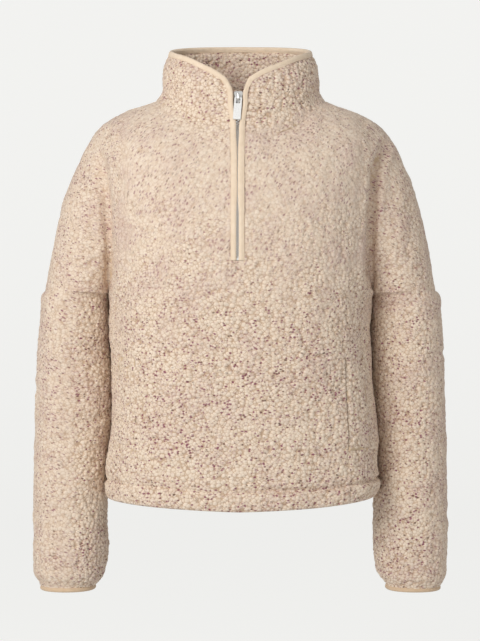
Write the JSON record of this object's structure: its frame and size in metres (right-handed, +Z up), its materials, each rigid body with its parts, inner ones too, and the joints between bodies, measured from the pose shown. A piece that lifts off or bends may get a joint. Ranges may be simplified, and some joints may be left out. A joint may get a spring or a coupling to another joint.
{
  "type": "half-zip fleece pullover, filled out with no wearer",
  "caption": "Half-zip pullover in curly sherpa fleece with a stand collar, bound zip and cuffs and side pocket welts. It keeps the upper body warm.",
  "frame": {"origin": "midway between the two shoulder neck points, where the wearer's shoulders carry the garment", "axes": "+Z up, from hem to collar; -Y out of the front, where the zip is; +X to the wearer's left"},
  "size_m": [0.5996, 0.2523, 0.7958],
  "materials": {
    "fleece": "curly sherpa pile in warm beige with fine plum and brown specks",
    "jersey": "plain beige jersey binding, matte",
    "tape": "woven beige zip tape, matte",
    "metal": "polished silver-coloured zip metal"
  },
  "bodies": {
    "garment": {"front": "fleece", "back": "fleece", "sleeve_left": "fleece", "sleeve_right": "fleece", "collar": "fleece", "collar_facing": "fleece", "edge_binding": "jersey", "cuff_binding_left": "jersey", "cuff_binding_right": "jersey", "pocket_welt_left": "fleece", "pocket_welt_right": "fleece", "zip_tape_left": "tape", "zip_tape_right": "tape", "zip_chain": "metal", "zip_bottom_stop": "metal", "zip_slider": "metal"},
    "pull_tab": {"zip_pull": "metal"}
  },
  "joints": [
    {"name": "pull_swing", "type": "hinge", "parent": "garment", "child": "pull_tab", "pos_m": [-0.004, -0.0911, -0.00812], "axis": [-0.999, 0.0045, 0.0434], "range_deg": [0, 160]}
  ]
}
